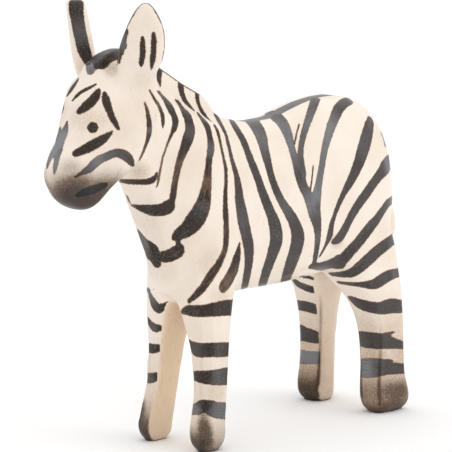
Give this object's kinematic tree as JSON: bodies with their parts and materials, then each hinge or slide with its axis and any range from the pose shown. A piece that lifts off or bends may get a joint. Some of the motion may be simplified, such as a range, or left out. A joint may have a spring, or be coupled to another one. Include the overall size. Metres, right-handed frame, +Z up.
{
  "type": "zebra figurine",
  "caption": "Small standing zebra carved from one block of wood, hand-painted with brush-stroke stripes, upright leaf ears and a short block mane.",
  "frame": {"origin": "on the ground, under the middle of the figure's box", "axes": "-X is where the head faces, -Y is the figure's left flank, +Z is up"},
  "size_m": [0.1072, 0.0266, 0.0947],
  "materials": {
    "painted_wood": "pale wood under cream and brown-black brush painting, sealed with a satin varnish"
  },
  "bodies": {
    "root": {"zebra": "painted_wood"}
  },
  "joints": []
}
